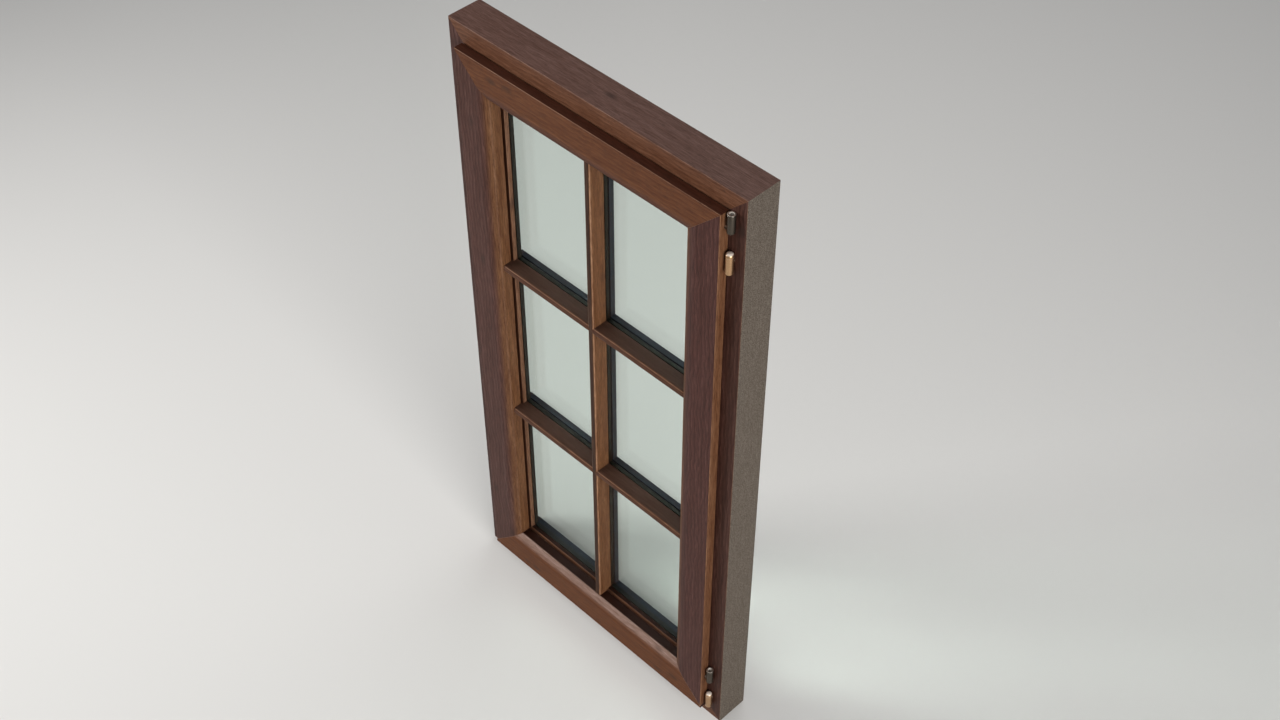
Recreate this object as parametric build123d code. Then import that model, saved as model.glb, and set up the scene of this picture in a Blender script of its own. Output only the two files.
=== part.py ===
"""Side-hung timber casement window with six lights, shut, as one would lift it into a wall.

The origin is the middle of the sill's underside, half way through the frame's depth.
X runs to the right as seen from the room, Y runs outwards, away from the room, and Z is up.
A section is drawn as (y, inwards): inwards counts from the outer edge of its frame or sash.
"""

import math
import os

from build123d import *

# Frame: four mitred members of one section
FRAME_WIDTH = 640.0
FRAME_HEIGHT = 1280.0
FRAME_LEG = 48.0            # face of the frame in front of the rebate
STOP_DEPTH = 16.0           # outer stop that the sash shuts against
STOP_LAP = 8.0              # how far the stop covers the sash's edge
EDGE = 2.0                  # softened long edges

# Sash: four mitred members of one moulded section, the bottom rail a little wider
SASH_PROUD = 20.0           # front of the sash stands this far into the room
SASH_LAP = 15.0             # cover on the head and the jambs
SILL_LAP = 18.0             # cover on the sill
LAP_GAP = 1.0               # air between the cover and the frame's face
REBATE_GAP = 12.0           # air around the sash's body
RAIL_EXTRA = 7.0            # how much wider the bottom rail is
FACE_FLAT = 45.0            # flat face of a stile or rail
MOULD_WIDTH = 27.0          # moulding that falls towards the glass, across the face
MOULD_DEPTH = 12.7          # and into the depth
MOULD_NOSE = 7.0            # tight round at the moulding's inner edge
LIP_DEPTH = 28.0            # from the face to the back of the straight inner edge

# Glazing: timber bead on the room side, slim double glass, metal bead outside
GLASS_REBATE = 20.0         # depth of the rebate that the glass stands in
GLASS_CLEAR = 3.0           # room around the glass in that rebate
GROOVE_WIDTH = 3.5          # shadow groove between the lip and the inner bead
GROOVE_DEPTH = 10.0
INNER_BEAD = 8.5            # thickness of the inner bead beside the glass
BEAD_PROUD = 3.3            # inner bead reaches this far past the lip
PANE = 4.0
CAVITY = 8.0
SPACER_SETBACK = 0.3        # spacer stops this far short of the inner bead's edge
OUTER_BEAD_DEPTH = 12.0
OUTER_BEAD_HEIGHT = 10.0
BEAD_SLOPE = 4.0            # fall of the outer bead's weather face
DRIP_HEIGHT = 19.0          # drip bar on the bottom bead
DRIP_SETBACK = 0.5          # drip bar's face behind the sash's outer face

# Glazing bars: timber ones on the room side, metal ones between the panes and outside
LIGHT_ROWS = 3
BAR_WIDTH = 14.2
BAR_PROUD = 2.3             # bar's front stands before the moulding's inner edge
BAR_ROUND = 4.5
CAVITY_BAR_WIDTH = 12.0
CAVITY_BAR_AIR = 0.5        # between a cavity bar and each pane
CAVITY_BAR_BEVEL = 0.8
OUTER_BAR_WIDTH = 12.0
OUTER_BAR_DEPTH = 11.5
OUTER_BAR_BEVEL = 1.5

# Rubber seal between the stop and the sash
SEAL_GAP = 4.0
SEAL_WIDTH = 5.0
SEAL_GROOVE = 3.0

# Drill-in hinges: a sleeve on the sash above a pin on the frame
HINGE_RADIUS = 6.6
SLEEVE_LENGTH = 34.0
PIN_LENGTH = 39.0
HINGE_SPACE = 39.0          # between a pin's dome and the sleeve above it
SASH_AIR = 3.0              # between a knuckle and the sash's edge
FRAME_AIR = 0.8             # between a knuckle and the frame's face
SLEEVE_BORE = 8.0
PIN_DOME = 5.2
STEM_RADIUS = 3.5
STEM_DEPTH = 20.0           # how far a stem goes into the wood
SLEEVE_FOOT = 1.5           # plain end of a sleeve below its stem, which sits low to clear the sash's mitre
STEM_FIT = 0.1              # room around a stem in its hole
UPPER_SLEEVE_RISE = 1.5     # upper sleeve's top above the sash's top
LOWER_PIN_RISE = 8.5        # lower pin's foot above the sash's foot

# Places through the depth, from the room outwards
glass_face = LIP_DEPTH + GROOVE_WIDTH + INNER_BEAD
glass_back = glass_face + PANE + CAVITY + PANE
sash_depth = glass_back + OUTER_BEAD_DEPTH
frame_depth = sash_depth - SASH_PROUD + SEAL_GAP + STOP_DEPTH
front_y = -frame_depth / 2
back_y = frame_depth / 2
sash_front_y = front_y - SASH_PROUD
sash_back_y = sash_front_y + sash_depth
stop_y = sash_back_y + SEAL_GAP
lip_y = sash_front_y + LIP_DEPTH
glass_y = sash_front_y + glass_face
cavity_y = glass_y + PANE
outer_pane_y = cavity_y + CAVITY
glass_back_y = sash_front_y + glass_back
bar_depth = glass_face - MOULD_DEPTH + BAR_PROUD
cavity_bar_depth = CAVITY - 2 * CAVITY_BAR_AIR

# Places across a member, inwards
stop_edge = FRAME_LEG + REBATE_GAP + STOP_LAP
sight = FACE_FLAT + MOULD_WIDTH
glass_seat = sight - GLASS_REBATE
glass_edge = glass_seat + GLASS_CLEAR
bead_sight = sight + BEAD_PROUD
spacer_sight = bead_sight - SPACER_SETBACK
outer_sight = glass_seat + OUTER_BEAD_HEIGHT
drip_edge = glass_seat + DRIP_HEIGHT

# The sash's mitres meet at the corners of this rectangle; the bottom rail's extra width hangs below it
sash_width = FRAME_WIDTH - 2 * (FRAME_LEG - SASH_LAP)
sash_foot_z = FRAME_LEG - SILL_LAP
sash_top_z = FRAME_HEIGHT - FRAME_LEG + SASH_LAP
ring_foot_z = sash_foot_z + RAIL_EXTRA
ring_height = sash_top_z - ring_foot_z
ring_middle_z = (sash_top_z + ring_foot_z) / 2
sash_right_x = sash_width / 2
body_edge = SASH_LAP + REBATE_GAP
bottom_body_edge = FRAME_LEG + REBATE_GAP - ring_foot_z

# Clear opening inside the sash, and the centre lines of the cross bars in it
opening_foot_z = ring_foot_z + sight
opening_top_z = sash_top_z - sight
row_pitch = (opening_top_z - opening_foot_z) / LIGHT_ROWS
lower_bar_z = opening_foot_z + row_pitch
upper_bar_z = opening_top_z - row_pitch

# How far a sleeve's stem sits below the sleeve's middle
stem_drop = SLEEVE_LENGTH / 2 - SLEEVE_FOOT - STEM_RADIUS

# A bottom member turned about Y makes the other three
TURNS = {"bottom": 0, "left": 90, "top": 180, "right": -90}


def outline(*points):
    """A flat face from its corners."""
    return make_face(Polyline(*points, close=True))


def rounded(section, corner, radius):
    """The section with the corner nearest to the given point rounded off."""
    vertex = section.vertices().sort_by_distance(Vector(*corner, 0))[0]
    return fillet(vertex, radius)


def mitred_member(section, length, reach):
    """A member below the middle, its mitre corner at the given reach, its ends cut at 45 degrees."""
    blank = extrude(Plane.YZ * section, length / 2, both=True)
    half = length / 2
    deep = 2 * stop_edge
    wedge = outline(
        (-half, -deep),
        (half, -deep),
        (half, 0),
        (half - deep, deep),
        (deep - half, deep),
        (-half, 0),
    )
    mitre = extrude(Plane.XZ * wedge, 2 * sash_depth, both=True)
    return Pos(0, 0, -reach) * (blank & mitre)


def mitred_ring(section, width, height, middle_z, bottom=None):
    """Four mitred members around a rectangle, keyed by side; the bottom one may have its own section."""
    ring = {}
    for side, turn in TURNS.items():
        upright = side in ("left", "right")
        length = height if upright else width
        reach = width / 2 if upright else height / 2
        own = bottom if bottom and side == "bottom" else section
        ring[side] = Pos(0, 0, middle_z) * Rot(0, turn, 0) * mitred_member(own, length, reach)
    return ring


def sash_ring(section, bottom=None):
    """Four mitred members that follow the sash."""
    return mitred_ring(section, sash_width, ring_height, ring_middle_z, bottom)


def frame_section():
    """Leg with the rebate behind it, the outer stop, and the groove for the seal."""
    groove_y = stop_y + SEAL_GROOVE
    groove_edge = stop_edge - STOP_LAP / 2
    corners = [
        (front_y, 0),
        (front_y, FRAME_LEG),
        (stop_y, FRAME_LEG),
        (stop_y, groove_edge - SEAL_WIDTH / 2),
        (groove_y, groove_edge - SEAL_WIDTH / 2),
        (groove_y, groove_edge + SEAL_WIDTH / 2),
        (stop_y, groove_edge + SEAL_WIDTH / 2),
        (stop_y, stop_edge),
        (back_y, stop_edge),
        (back_y, 0),
    ]
    section = outline(*corners)
    for corner in ((front_y, 0), (front_y, FRAME_LEG), (back_y, stop_edge), (back_y, 0)):
        section = rounded(section, corner, EDGE)
    return section


def seal_section():
    """Strip that sits in the stop's groove and reaches the sash's outer face."""
    groove_edge = stop_edge - STOP_LAP / 2
    low = groove_edge - SEAL_WIDTH / 2
    high = groove_edge + SEAL_WIDTH / 2
    back = stop_y + SEAL_GROOVE
    return outline((sash_back_y, low), (sash_back_y, high), (back, high), (back, low))


def sash_section(low, body):
    """Cover, moulding and inner lip in one piece, with the rebate open to the outside.

    The moulding is two arcs: a slow one leaves the flat face and runs into the nose.
    """
    cover_y = front_y - LAP_GAP
    mould_y = sash_front_y + MOULD_DEPTH
    across = MOULD_WIDTH - MOULD_NOSE
    sweep = (across**2 + MOULD_DEPTH**2 - MOULD_NOSE**2) / (2 * (MOULD_DEPTH - MOULD_NOSE))
    turn = math.asin(across / (sweep - MOULD_NOSE))
    meeting = (sash_front_y + sweep * (1 - math.cos(turn)), FACE_FLAT + sweep * math.sin(turn))
    slow = TangentArc((sash_front_y, FACE_FLAT), meeting, tangent=(0, 1))
    nose = TangentArc(meeting, (mould_y, sight), tangent=slow % 1)
    plain = Polyline(
        (mould_y, sight),
        (lip_y, sight),
        (lip_y, glass_seat),
        (sash_back_y, glass_seat),
        (sash_back_y, body),
        (cover_y, body),
        (cover_y, low),
        (sash_front_y, low),
        (sash_front_y, FACE_FLAT),
    )
    section = make_face(plain + slow + nose)
    for corner in ((sash_front_y, low), (cover_y, low), (sash_back_y, body)):
        section = rounded(section, corner, EDGE)
    return section


def inner_bead_section():
    """Timber bead with a foot under the shadow groove and an upstand beside the glass."""
    foot = sight - GROOVE_DEPTH
    stand_y = lip_y + GROOVE_WIDTH
    return outline(
        (lip_y, glass_seat),
        (lip_y, foot),
        (stand_y, foot),
        (stand_y, bead_sight),
        (glass_y, bead_sight),
        (glass_y, glass_seat),
    )


def spacer_section():
    """Spacer between the panes, level with the inner bead."""
    return outline(
        (cavity_y, glass_edge),
        (cavity_y, spacer_sight),
        (outer_pane_y, spacer_sight),
        (outer_pane_y, glass_edge),
    )


def outer_bead_section():
    """Outer glazing bead whose weather face falls away from the glass."""
    return outline(
        (glass_back_y, glass_seat),
        (glass_back_y, outer_sight),
        (sash_back_y - BEAD_SLOPE, outer_sight),
        (sash_back_y, glass_seat + EDGE),
        (sash_back_y, glass_seat),
    )


def drip_bar():
    """Upstand of the bottom bead, between the side beads."""
    depth = OUTER_BEAD_DEPTH - DRIP_SETBACK
    height = DRIP_HEIGHT - EDGE
    width = sash_width - 2 * outer_sight
    middle_z = ring_foot_z + drip_edge - height / 2
    return Pos(0, glass_back_y + depth / 2, middle_z) * Box(width, depth, height)


def pane(inner_y):
    """One sheet of glass whose room side lies at the given depth."""
    width = sash_width - 2 * glass_edge
    height = ring_height - 2 * glass_edge
    return Pos(0, inner_y + PANE / 2, ring_middle_z) * Box(width, PANE, height)


def bar_section(width, depth):
    """A bar's section as (across, out): it stands on the glass and is symmetrical."""
    half = width / 2
    return outline((-half, 0), (half, 0), (half, depth), (-half, depth))


def inner_bar_section():
    """Timber bar: both front edges are well rounded."""
    section = bar_section(BAR_WIDTH, bar_depth)
    for side in (-1, 1):
        section = rounded(section, (side * BAR_WIDTH / 2, bar_depth), BAR_ROUND)
    return section


def metal_bar_section(width, depth, bevel):
    """Metal bar: both outer edges are bevelled."""
    section = bar_section(width, depth)
    for side in (-1, 1):
        corner = Vector(side * width / 2, depth, 0)
        section = chamfer(section.vertices().sort_by_distance(corner)[0], bevel)
    return section


def glazing_bars(section, seat_y, out, edges):
    """One upright bar through the full height and four cross bars coped to it.

    The bars stand on the glass at seat_y and rise along out, which is -1 towards the room.
    Their ends lie on the edges: half the width, the foot and the top of the clear opening.
    """
    half_width, foot_z, top_z = edges
    upright_plane = Plane(origin=(0, seat_y, foot_z), x_dir=(out, 0, 0), z_dir=(0, 0, 1))
    upright = extrude(upright_plane * section, top_z - foot_z)
    bars = {"upright": upright}
    for level, z in (("lower", lower_bar_z), ("upper", upper_bar_z)):
        for side, sign in (("left", -1), ("right", 1)):
            plane = Plane(origin=(0, seat_y, z), x_dir=(0, 0, -sign * out), z_dir=(sign, 0, 0))
            cross = extrude(plane * section, half_width)
            bars[level + "_" + side] = cross - upright
    return bars


def opening(low, side_edge):
    """Half the width, the foot and the top of the opening between members of these inner edges."""
    return sash_width / 2 - side_edge, ring_foot_z + low, sash_top_z - side_edge


def stem(air, room=0.0):
    """Fixing stem of a hinge half, from its axis along X over the air into the wood; room makes its hole."""
    reach = HINGE_RADIUS + air + STEM_DEPTH + room
    return Pos(reach / 2, 0, 0) * Rot(0, 90, 0) * Cylinder(STEM_RADIUS + room, reach)


def hinge_sleeve():
    """Open sleeve around the hinge axis, with its stem along +X."""
    body = Cylinder(HINGE_RADIUS, SLEEVE_LENGTH) + Pos(0, 0, -stem_drop) * stem(SASH_AIR)
    sleeve = body - Cylinder(SLEEVE_BORE / 2, SLEEVE_LENGTH)
    rims = sleeve.edges().filter_by(GeomType.CIRCLE).group_by(Axis.Z)
    return chamfer([rims[0], rims[-1]], 0.5)


def hinge_pin():
    """Solid pin with a domed top turned in short steps, with its stem along +X."""
    foot = -PIN_LENGTH / 2
    top = PIN_LENGTH / 2
    dome = []
    for step in range(5):
        turn = math.radians(22.5 * step)
        radius = HINGE_RADIUS - PIN_DOME * (1 - math.cos(turn))
        dome.append((radius, top - PIN_DOME * (1 - math.sin(turn))))
    half = outline((0, foot), (HINGE_RADIUS, foot), *dome, (0, top))
    return revolve(Plane.XZ * half, Axis.Z) + stem(FRAME_AIR)


frame_names = {
    "bottom": "frame_sill",
    "left": "frame_left_jamb",
    "top": "frame_head",
    "right": "frame_right_jamb",
}
sash_names = {
    "bottom": "sash_bottom_rail",
    "left": "sash_left_stile",
    "top": "sash_top_rail",
    "right": "sash_right_stile",
}

frame = mitred_ring(frame_section(), FRAME_WIDTH, FRAME_HEIGHT, FRAME_HEIGHT / 2)
sash = sash_ring(sash_section(0, body_edge), sash_section(-RAIL_EXTRA, bottom_body_edge))
inner_beads = sash_ring(inner_bead_section())
outer_beads = sash_ring(outer_bead_section())
outer_beads["bottom"] = outer_beads["bottom"] + drip_bar()

# The hinge axis stands clear of the sash's edge and of the frame's face
hinge_x = sash_right_x + SASH_AIR + HINGE_RADIUS
hinge_y = front_y - FRAME_AIR - HINGE_RADIUS
pin_to_sleeve = (PIN_LENGTH + SLEEVE_LENGTH) / 2 + HINGE_SPACE
upper_sleeve_z = sash_top_z + UPPER_SLEEVE_RISE - SLEEVE_LENGTH / 2
upper_pin_z = upper_sleeve_z - pin_to_sleeve
lower_pin_z = sash_foot_z + LOWER_PIN_RISE + PIN_LENGTH / 2
lower_sleeve_z = lower_pin_z + pin_to_sleeve
to_sash = Rot(0, 0, 180)
to_frame = Rot(0, 0, 90)
sash_hole = stem(SASH_AIR, STEM_FIT)
frame_hole = stem(FRAME_AIR, STEM_FIT)

nodes = {}
for level, sleeve_z, pin_z in (("upper", upper_sleeve_z, upper_pin_z), ("lower", lower_sleeve_z, lower_pin_z)):
    sleeve_place = Pos(hinge_x, hinge_y, sleeve_z) * to_sash
    pin_place = Pos(hinge_x, hinge_y, pin_z) * to_frame
    sash["right"] = sash["right"] - sleeve_place * Pos(0, 0, -stem_drop) * sash_hole
    frame["right"] = frame["right"] - pin_place * frame_hole
    nodes[level + "_hinge_sleeve"] = sleeve_place * hinge_sleeve()
    nodes[level + "_hinge_pin"] = pin_place * hinge_pin()

for side in TURNS:
    nodes[frame_names[side]] = frame[side]
    nodes[sash_names[side]] = sash[side]
    nodes["inner_bead_" + side] = inner_beads[side]
    nodes["outer_bead_" + side] = outer_beads[side]

for side, strip in mitred_ring(seal_section(), FRAME_WIDTH, FRAME_HEIGHT, FRAME_HEIGHT / 2).items():
    nodes["seal_" + side] = strip
for side, strip in sash_ring(spacer_section()).items():
    nodes["spacer_" + side] = strip

nodes["inner_pane"] = pane(glass_y)
nodes["outer_pane"] = pane(outer_pane_y)

# Room-side bars are notched over the inner beads; the others end on the spacers and on the outer beads
inner_section = inner_bar_section()
cavity_section = metal_bar_section(CAVITY_BAR_WIDTH, cavity_bar_depth, CAVITY_BAR_BEVEL)
outer_section = metal_bar_section(OUTER_BAR_WIDTH, OUTER_BAR_DEPTH, OUTER_BAR_BEVEL)
for place, bar in glazing_bars(inner_section, glass_y, -1, opening(sight, sight)).items():
    for bead in inner_beads.values():
        bar = bar - bead
    nodes["inner_bar_" + place] = bar
cavity_edges = opening(spacer_sight, spacer_sight)
for place, bar in glazing_bars(cavity_section, cavity_y + CAVITY_BAR_AIR, 1, cavity_edges).items():
    nodes["cavity_bar_" + place] = bar
for place, bar in glazing_bars(outer_section, glass_back_y, 1, opening(drip_edge, outer_sight)).items():
    nodes["outer_bar_" + place] = bar

os.makedirs("parts", exist_ok=True)
for name, shape in nodes.items():
    export_step(shape, "parts/" + name + ".step")
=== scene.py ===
import math

import bmesh
import bpy
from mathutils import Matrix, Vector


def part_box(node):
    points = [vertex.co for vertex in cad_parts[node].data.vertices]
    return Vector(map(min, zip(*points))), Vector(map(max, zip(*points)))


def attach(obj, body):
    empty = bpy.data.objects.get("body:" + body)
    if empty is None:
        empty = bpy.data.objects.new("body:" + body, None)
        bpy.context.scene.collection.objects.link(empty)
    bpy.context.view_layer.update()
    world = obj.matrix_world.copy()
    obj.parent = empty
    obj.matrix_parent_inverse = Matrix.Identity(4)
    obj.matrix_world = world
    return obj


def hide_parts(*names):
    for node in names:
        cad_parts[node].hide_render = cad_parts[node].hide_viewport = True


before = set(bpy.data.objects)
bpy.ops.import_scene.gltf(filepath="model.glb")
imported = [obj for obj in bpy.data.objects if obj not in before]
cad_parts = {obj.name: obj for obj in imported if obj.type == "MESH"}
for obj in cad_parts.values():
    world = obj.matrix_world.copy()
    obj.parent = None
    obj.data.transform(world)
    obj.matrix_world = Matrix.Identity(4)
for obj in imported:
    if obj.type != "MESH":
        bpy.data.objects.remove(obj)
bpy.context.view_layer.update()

# Outer frame: four planed mahogany members of one section, mitred and glued at the corners.
# One length of the section is machined first: the stop that the sash shuts against, the groove
# for its seal, and the eased long edges. The members are then cut from it at 45 degrees.
sill_low, sill_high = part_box("frame_sill")
jamb_low, jamb_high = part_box("frame_left_jamb")
seal_low, seal_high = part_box("seal_bottom")
FRAME_WIDTH = sill_high.x - sill_low.x
FRAME_HEIGHT = jamb_high.z - jamb_low.z
FRAME_FRONT = sill_low.y
FRAME_BACK = sill_high.y
STOP_EDGE = sill_high.z
STOP_RISE = 0.020
FRAME_LEG = STOP_EDGE - STOP_RISE
SEAL_GROOVE = 0.003
STOP_FACE = seal_high.y - SEAL_GROOVE
EASED = 0.002
SANDED = 0.0004
RUN_SPARE = 0.060
RUN_HALF = FRAME_HEIGHT / 2 + RUN_SPARE
TURNS = {"bottom": 0, "left": 90, "top": 180, "right": -90}
TOUCHING = 1e-5
SQUARELY = 0.9
SHARP_ANGLE = math.radians(40)
SMOOTH_ANGLE = math.radians(50)


def settle():
    """Put the selected piece's place and turn into its mesh, which leaves its object at the origin."""
    bpy.ops.object.transform_apply(location=True, rotation=True, scale=True)


def sawn_blank(name, low, high):
    """A sawn block between two corners, left in edit mode."""
    bpy.ops.object.select_all(action="DESELECT")
    bpy.ops.mesh.primitive_cube_add(
        size=1,
        location=[(a + b) / 2 for a, b in zip(low, high)],
        scale=[b - a for a, b in zip(low, high)],
    )
    piece = bpy.context.object
    piece.name = name
    settle()
    bpy.ops.object.mode_set(mode="EDIT")
    return piece


def score(point, normal):
    """Mark a line round the piece, where a plane crosses it."""
    bpy.ops.mesh.select_all(action="SELECT")
    bpy.ops.mesh.bisect(plane_co=point, plane_no=normal)


def saw(point, normal):
    """Cut the piece along a plane and drop what lies on the normal's side."""
    bpy.ops.mesh.select_all(action="SELECT")
    bpy.ops.mesh.bisect(plane_co=point, plane_no=normal, use_fill=True, clear_outer=True)


def pick(kind, test):
    """Select the faces or edges of the piece that pass the test, and nothing else."""
    bpy.ops.mesh.select_mode(type=kind)
    bpy.ops.mesh.select_all(action="DESELECT")
    shape = bmesh.from_edit_mesh(bpy.context.object.data)
    for part in shape.faces if kind == "FACE" else shape.edges:
        part.select_set(bool(test(part)))
    shape.select_flush_mode()
    bmesh.update_edit_mesh(bpy.context.object.data)


def raise_faces(test, by):
    """Push the faces that pass the test out, or in, by a vector."""
    pick("FACE", test)
    bpy.ops.mesh.extrude_region_move(TRANSFORM_OT_translate={"value": by})


def ease(corners, radius):
    """Round the long edges that run along X at these (y, z) corners."""
    pick("EDGE", lambda edge: any(
        all(math.dist(vertex.co.yz, corner) < TOUCHING for vertex in edge.verts) for corner in corners))
    bpy.ops.mesh.bevel(offset=radius, segments=4, affect="EDGES")


def take(piece):
    """Make a piece the only one selected."""
    bpy.ops.object.select_all(action="DESELECT")
    piece.select_set(True)
    bpy.context.view_layer.objects.active = piece


def copy_of(piece, name):
    """A copy of a piece, with a mesh of its own, left selected."""
    take(piece)
    bpy.ops.object.duplicate()
    made = bpy.context.object
    made.name = name
    return made


def soften(piece):
    """Break the sharp edges by a hair, as sanding does, and shade the rounds smooth."""
    take(piece)
    sanded = piece.modifiers.new("sanded", "BEVEL")
    sanded.width = SANDED
    sanded.segments = 2
    sanded.limit_method = "ANGLE"
    sanded.angle_limit = SHARP_ANGLE
    bpy.ops.object.modifier_apply(modifier=sanded.name)
    bpy.ops.object.shade_smooth_by_angle(angle=SMOOTH_ANGLE)
    even = piece.modifiers.new("even", "WEIGHTED_NORMAL")
    even.keep_sharp = True
    bpy.ops.object.modifier_apply(modifier=even.name)


def cut_member(run, name, side, width, height, middle_z):
    """Cut one side of a rectangle from a run of moulding, mitred, and set it in its place."""
    upright = side in ("left", "right")
    half_length = (height if upright else width) / 2
    reach = (width if upright else height) / 2
    piece = copy_of(run, name)
    bpy.ops.object.mode_set(mode="EDIT")
    saw((half_length, 0, 0), (1, 0, 1))
    saw((-half_length, 0, 0), (-1, 0, 1))
    saw((half_length, 0, 0), (1, 0, 0))
    saw((-half_length, 0, 0), (-1, 0, 0))
    bpy.ops.mesh.select_all(action="SELECT")
    bpy.ops.transform.translate(value=(0, 0, -reach))
    bpy.ops.object.mode_set(mode="OBJECT")
    piece.rotation_euler.y = math.radians(TURNS[side])
    piece.location.z = middle_z
    settle()
    soften(piece)
    return piece


def linear(colour):
    """A hex sRGB colour as linear RGBA."""
    parts = [int(colour[i:i + 2], 16) / 255 for i in (1, 3, 5)]
    return [c / 12.92 if c <= 0.04045 else ((c + 0.055) / 1.055) ** 2.4 for c in parts] + [1.0]


def add(tree, kind, settings=(), links=()):
    """Add one shader node, set its fields and sockets, and link what feeds it.

    A socket goes by its name, or by its number where a node has several of one name: a mix has
    its share at 0, its two values at 2 and 3, and its two colours at 6 and 7.
    """
    made = tree.nodes.new("ShaderNode" + kind)
    for name, value in dict(settings).items():
        if isinstance(name, int) or name in made.inputs:
            made.inputs[name].default_value = value
        else:
            setattr(made, name, value)
    for name, source in dict(links).items():
        tree.links.new(source, made.inputs[name])
    return made


def new_material(name):
    """An empty node material with its shader and output; returns the material, tree and shader."""
    material = bpy.data.materials.new(name)
    material.use_nodes = True
    tree = material.node_tree
    tree.nodes.clear()
    shader = add(tree, "BsdfPrincipled")
    add(tree, "OutputMaterial", links={"Surface": shader.outputs["BSDF"]})
    return material, tree, shader


# Mahogany, planed and finished with a thin satin stain. A member's face and its edges differ in
# tone, partly because the stain takes differently on the two ways the wood is cut and partly as painted
# light and shade. Grain runs along the member, with short dark pores and a few small knots, and
# the rounds carry a painted highlight, a little paler.
def stained_mahogany(name, upright, face, edge, painted_highlight="#B08A6A", turn=(0.84, 0.995), highlight_span=(0.80, 0.72),
                     bare=None):
    """The timber of an upright or a level member; bare is the colour of sides left unstained.

    turn says how squarely a surface faces front where its tone passes from edge to face; the edge
    colour holds painted light and shade as well as the stain's own tone. highlight_span says how
    square to any side a surface is where the painted highlight, in painted_highlight, starts and is full.
    """
    material, tree, shader = new_material(name)
    place = add(tree, "TexCoord")
    turned = add(tree, "Mapping", {"Rotation": (0, 0 if upright else math.pi / 2, 0)},
                 {"Vector": place.outputs["Object"]})
    grain = turned.outputs["Vector"]

    # The face's tone passes to the edges' over the moulding, or beyond it; the edges' tone is partly
    # painted light and shade
    facing = add(tree, "VectorMath", {"operation": "ABSOLUTE"}, {0: place.outputs["Normal"]})
    sides = add(tree, "SeparateXYZ", links={"Vector": facing.outputs["Vector"]})
    is_face = add(tree, "MapRange",
                  {"interpolation_type": "SMOOTHSTEP", "From Min": turn[0], "From Max": turn[1]},
                  {"Value": sides.outputs["Y"]})
    tone = add(tree, "Mix", {"data_type": "RGBA", 6: linear(edge), 7: linear(face)},
               {0: is_face.outputs["Result"]})

    # Painted highlight: rounds and eased edges, which face no one side squarely, are painted paler
    widest = add(tree, "Math", {"operation": "MAXIMUM"}, {0: sides.outputs["X"], 1: sides.outputs["Y"]})
    squarest = add(tree, "Math", {"operation": "MAXIMUM"}, {0: widest.outputs[0], 1: sides.outputs["Z"]})
    highlight_share = add(tree, "MapRange",
                 {"interpolation_type": "SMOOTHSTEP", "From Min": highlight_span[0], "From Max": highlight_span[1],
                  "To Max": 0.8},
                 {"Value": squarest.outputs[0]})
    highlighted = add(tree, "Mix", {"data_type": "RGBA", 7: linear(painted_highlight)},
                {0: highlight_share.outputs["Result"], 6: tone.outputs[2]})

    # Clouds in the stain, 8 mm across the grain and 120 mm along it
    cloud_place = add(tree, "Mapping", {"Scale": (1 / 0.008, 1 / 0.008, 1 / 0.120)}, {"Vector": grain})
    cloud = add(tree, "TexNoise", {"Scale": 1.0, "Detail": 3.0, "Distortion": 0.4},
                {"Vector": cloud_place.outputs["Vector"]})
    cloud_share = add(tree, "MapRange", {"From Min": 0.32, "From Max": 0.68},
                      {"Value": cloud.outputs["Fac"]})
    cloud_dark = "#D9CCC3" if upright else "#E6DDD6"
    cloud_tint = add(tree, "Mix", {"data_type": "RGBA", 6: linear(cloud_dark), 7: linear("#FFFFFF")},
                     {0: cloud_share.outputs["Result"]})
    clouded = add(tree, "Mix", {"data_type": "RGBA", "blend_type": "MULTIPLY", 0: 1.0},
                  {6: highlighted.outputs[2], 7: cloud_tint.outputs[2]})

    # Growth rings 8 mm apart round a pith that leans 2 degrees; they show on faces, not on edges.
    # A wave of scale 1 repeats every 0.314 m.
    pith = add(tree, "Mapping",
               {"Location": (0.05, 0.09, 0), "Rotation": (math.radians(2), math.radians(2), 0)},
               {"Vector": grain})
    rings = add(tree, "TexWave", {"wave_type": "RINGS", "rings_direction": "Z", "wave_profile": "SAW",
                                  "Scale": 0.314 / 0.008, "Distortion": 7.0, "Detail": 3.0,
                                  "Detail Scale": 0.5},
                {"Vector": pith.outputs["Vector"]})
    ring_share = add(tree, "Math", {"operation": "MULTIPLY"},
                     {0: rings.outputs["Fac"], 1: is_face.outputs["Result"]})
    ring_dark = "#C8B9AF" if upright else "#E0D6CE"
    ring_tint = add(tree, "Mix", {"data_type": "RGBA", 6: linear("#FFFFFF"), 7: linear(ring_dark)},
                    {0: ring_share.outputs[0]})
    ringed = add(tree, "Mix", {"data_type": "RGBA", "blend_type": "MULTIPLY", 0: 1.0},
                 {6: clouded.outputs[2], 7: ring_tint.outputs[2]})

    # Fibres, drawn 1.2 mm wide and 24 mm long where real ones are under 0.5 mm wide, so that they show
    fibre_place = add(tree, "Mapping", {"Scale": (1 / 0.0012, 1 / 0.0012, 1 / 0.024)}, {"Vector": grain})
    fibre = add(tree, "TexNoise", {"Scale": 1.0, "Detail": 4.0, "Roughness": 0.6},
                {"Vector": fibre_place.outputs["Vector"]})
    fibre_share = add(tree, "MapRange", {"From Min": 0.35, "From Max": 0.65},
                      {"Value": fibre.outputs["Fac"]})
    fibre_dark = "#B2A399" if upright else "#C4B8AF"
    fibre_tint = add(tree, "Mix", {"data_type": "RGBA", 6: linear(fibre_dark), 7: linear("#FFFFFF")},
                     {0: fibre_share.outputs["Result"]})
    streaked = add(tree, "Mix", {"data_type": "RGBA", "blend_type": "MULTIPLY", 0: 1.0},
                   {6: ringed.outputs[2], 7: fibre_tint.outputs[2]})

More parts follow.
